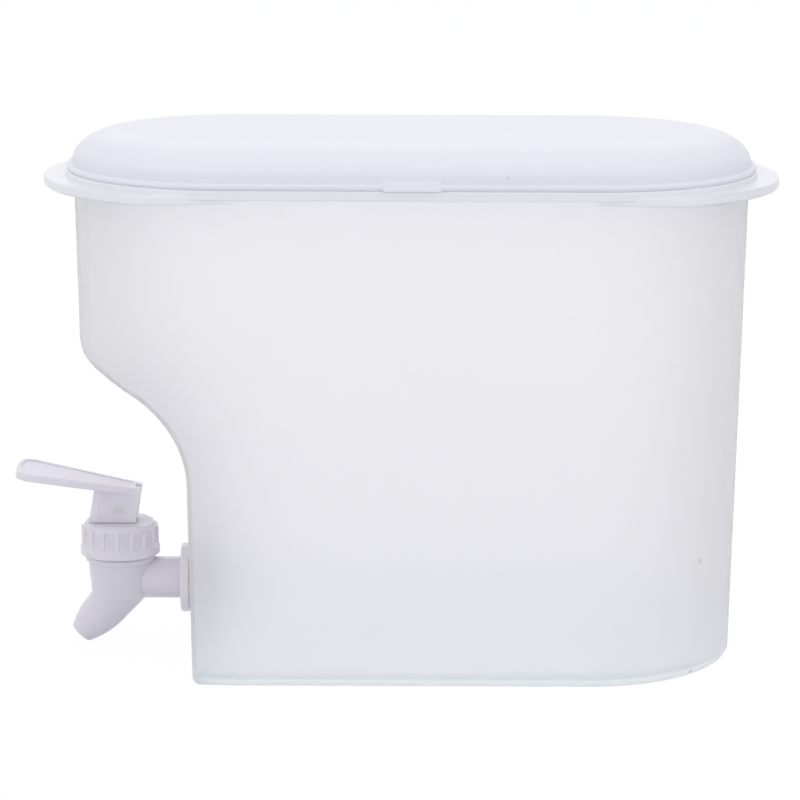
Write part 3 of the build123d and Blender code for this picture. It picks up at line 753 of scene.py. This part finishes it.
class JUG_OT_spring(bpy.types.Operator):
    """Wind the return spring round the stem"""

    bl_idname = "jug.spring"
    bl_label = "Return spring"

    def execute(self, context):
        look = context.scene.tap_look
        low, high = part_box("return_spring")
        wire = look.wire_diameter / 2
        radius = look.spring_diameter / 2
        foot, head = low.z + wire, high.z - wire
        steps_round = 36
        sides = 12
        steps = look.spring_turns * steps_round
        # How much flatter than the middle turns the end turns lie
        flattening = 0.35
        body = bmesh.new()
        rows = []
        for step in range(steps + 1):
            share = step / steps
            eased = share - flattening * sin(2 * pi * share) / (2 * pi)
            angle = 2 * pi * look.spring_turns * share
            height = foot + (head - foot) * eased
            centre = Vector((TAP_X + radius * cos(angle), radius * sin(angle), height))
            outward = Vector((cos(angle), sin(angle), 0))
            row = []
            for side in range(sides):
                turn = 2 * pi * side / sides
                upward = Vector((0, 0, wire * sin(turn)))
                row.append(body.verts.new(centre + outward * wire * cos(turn) + upward))
            rows.append(row)
        for row, after in zip(rows, rows[1:]):
            for side in range(sides):
                other = (side + 1) % sides
                body.faces.new((row[side], row[other], after[other], after[side]))
        body.faces.new(rows[0])
        body.faces.new(list(reversed(rows[-1])))
        bmesh.ops.recalc_face_normals(body, faces=body.faces)
        for face in body.faces:
            face.smooth = len(face.verts) == 4
        piece = piece_from(body, "wound_return_spring")
        piece.data.materials.append(stainless_wire_drawn(look))
        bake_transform(piece)
        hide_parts("return_spring")
        return {"FINISHED"}


class JUG_OT_stage(bpy.types.Operator):
    """Set up the camera, the paper floor and the soft lights"""

    bl_idname = "jug.stage"
    bl_label = "Studio"

    def execute(self, context):
        look = context.scene.stage_look
        self.set_camera(context, look)
        self.set_floor(look)
        self.set_room(context, look)
        self.set_lamps(context)
        context.scene.view_settings.view_transform = "Standard"
        return {"FINISHED"}

    def set_camera(self, context, look):
        """Camera that looks down a little at the jug's long near side."""
        data = bpy.data.cameras.new("photo_camera")
        data.sensor_width = 36
        data.lens = look.lens
        camera = bpy.data.objects.new("photo_camera", data)
        context.scene.collection.objects.link(camera)
        back = Vector((0, -cos(look.pitch), sin(look.pitch)))
        turn = Matrix.Rotation(pi / 2 - look.pitch, 4, "X") @ Matrix.Rotation(look.roll, 4, "Z")
        camera.matrix_world = Matrix.Translation(Vector(look.aim) + back * look.distance) @ turn
        context.scene.camera = camera

    def set_floor(self, look):
        """Paper that lies on the floor and sweeps up behind the jug in one curve."""
        radius = look.sweep_radius
        profile = [(-look.sweep_back, 0.0)]
        steps = 24
        for step in range(steps + 1):
            angle = pi / 2 * step / steps
            profile.append((look.sweep_back - radius * (1 - sin(angle)), radius * (1 - cos(angle))))
        profile.append((look.sweep_back, look.sweep_height))
        body = bmesh.new()
        rows = []
        for y, z in profile:
            rows.append([body.verts.new((side * look.sweep_width / 2, y, z)) for side in (-1, 1)])
        for near, far in zip(rows, rows[1:]):
            face = body.faces.new((near[0], near[1], far[1], far[0]))
            face.smooth = True
        floor = piece_from(body, "paper_sweep")
        floor.location.z = cad_bounds[0][2]
        floor.data.materials.append(white_paper_sweep(look))

    def set_room(self, context, look):
        """Even light from all round, which the camera sees as plain white."""
        world = bpy.data.worlds.new("white_room")
        world.use_nodes = True
        tree = world.node_tree
        tree.nodes.clear()
        path = add_node(tree, "ShaderNodeLightPath")
        soft = add_node(
            tree, "ShaderNodeBackground",
            [("Color", hex_colour(look.room_colour)), ("Strength", look.ambient)],
        )
        white = add_node(tree, "ShaderNodeBackground", [("Color", (1, 1, 1, 1)), ("Strength", 1.0)])
        seen = add_node(
            tree, "ShaderNodeMath",
            [(0, path.outputs["Is Camera Ray"]), (1, path.outputs["Is Transmission Ray"])],
            operation="MAXIMUM",
        )
        mix = add_node(
            tree, "ShaderNodeMixShader",
            [(0, seen.outputs[0]), (1, soft.outputs[0]), (2, white.outputs[0])],
        )
        add_node(tree, "ShaderNodeOutputWorld", [("Surface", mix.outputs[0])])
        context.scene.world = world

    def set_lamps(self, context):
        """Square softboxes that all face the jug."""
        jug_middle = Vector((0, 0, 0.1))
        # Name, place and width in metres, and power in watts
        lamps = [
            ("top_softbox", (0.0, 0.1, 2.4), 2.2, 3.0),
            ("back_softbox", (0.0, 1.8, 1.3), 1.4, 4.0),
            ("front_right_softbox", (1.5, -1.7, 0.75), 0.6, 3.2),
            ("front_left_softbox", (-0.9, -1.8, 0.45), 0.6, 3.2),
            ("left_softbox", (-2.0, 0.7, 0.8), 1.4, 2.5),
        ]
        for name, place, width, power in lamps:
            data = bpy.data.lights.new(name, "AREA")
            data.size = width
            data.energy = power
            lamp = bpy.data.objects.new(name, data)
            lamp.location = place
            aim = jug_middle - Vector(place)
            lamp.rotation_euler = aim.to_track_quat("-Z", "Y").to_euler()
            context.scene.collection.objects.link(lamp)


class JUG_PT_panel(bpy.types.Panel):
    """Lists the jug's pieces and its studio"""

    bl_idname = "JUG_PT_panel"
    bl_label = "Water jug"
    bl_space_type = "VIEW_3D"
    bl_region_type = "UI"
    bl_category = "Water jug"

    def draw(self, context):
        """Every setting in a box for its group, then a button for each operator."""
        scene = context.scene
        for group in (scene.jug_look, scene.tap_look, scene.stage_look):
            box = self.layout.box()
            for name in group.__annotations__:
                box.prop(group, name)
        for operator in MAKERS:
            self.layout.operator(operator.bl_idname)


MAKERS = (
    JUG_OT_stage, JUG_OT_shell, JUG_OT_lid, JUG_OT_tap, JUG_OT_washers, JUG_OT_seat_cup, JUG_OT_spring,
)
GROUPS = (JugSettings, TapSettings, StageSettings)


def register():
    """Add the classes and the three groups of settings."""
    for kind in GROUPS + MAKERS + (JUG_PT_panel,):
        bpy.utils.register_class(kind)
    bpy.types.Scene.jug_look = PointerProperty(type=JugSettings)
    bpy.types.Scene.tap_look = PointerProperty(type=TapSettings)
    bpy.types.Scene.stage_look = PointerProperty(type=StageSettings)


def unregister():
    """Take the settings and the classes out again."""
    for name in ("jug_look", "tap_look", "stage_look"):
        delattr(bpy.types.Scene, name)
    for kind in reversed(GROUPS + MAKERS + (JUG_PT_panel,)):
        bpy.utils.unregister_class(kind)


def main():
    """Make every piece in order."""
    register()
    bpy.ops.jug.stage()
    bpy.ops.jug.shell()
    bpy.ops.jug.lid()
    bpy.ops.jug.tap()
    bpy.ops.jug.washers()
    bpy.ops.jug.seat_cup()
    bpy.ops.jug.spring()


if __name__ == "__main__":
    main()
